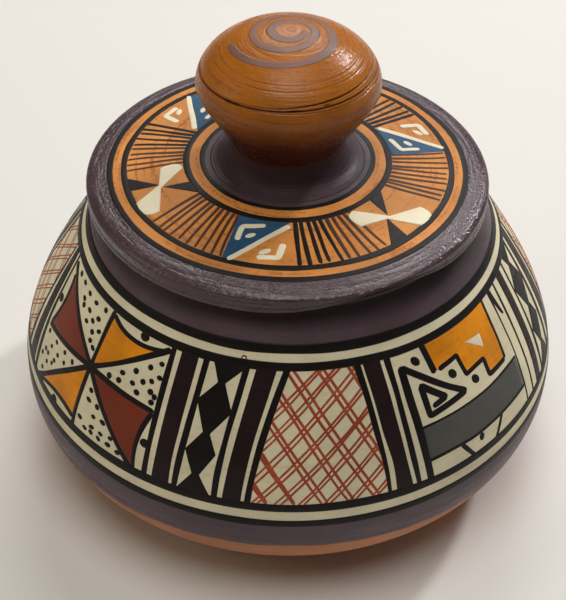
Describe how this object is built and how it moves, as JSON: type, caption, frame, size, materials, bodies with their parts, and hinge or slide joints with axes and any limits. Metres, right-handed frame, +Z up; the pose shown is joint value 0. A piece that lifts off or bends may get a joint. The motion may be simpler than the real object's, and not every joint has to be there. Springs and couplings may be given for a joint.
{
  "type": "trinket jar",
  "caption": "Round lidded earthenware trinket jar with a full belly, short neck and loose disc lid with a domed knob, painted in bands of traditional geometric slip motifs.",
  "frame": {"origin": "middle of the flat base, on the plane that the jar stands on", "axes": "+Z up along the wheel's axis; -Y faces the viewer of the picture and +X is to the right"},
  "size_m": [0.1092, 0.1092, 0.0932],
  "materials": {
    "painted_jar": "burnished painted slip, satin",
    "painted_lid": "burnished painted slip, satin",
    "bare_terracotta": "bare fired clay, matt",
    "burnished_terracotta": "burnished fired clay, satin"
  },
  "bodies": {
    "jar": {"jar_body": "painted_jar"},
    "lid": {"lid_disc": "painted_lid", "lid_flange": "bare_terracotta", "lid_knob": "burnished_terracotta"}
  },
  "joints": [
    {"name": "lid_lift", "type": "slide", "parent": "jar", "child": "lid", "axis": [0, 0, 1], "range_m": [0, 0.06]}
  ]
}
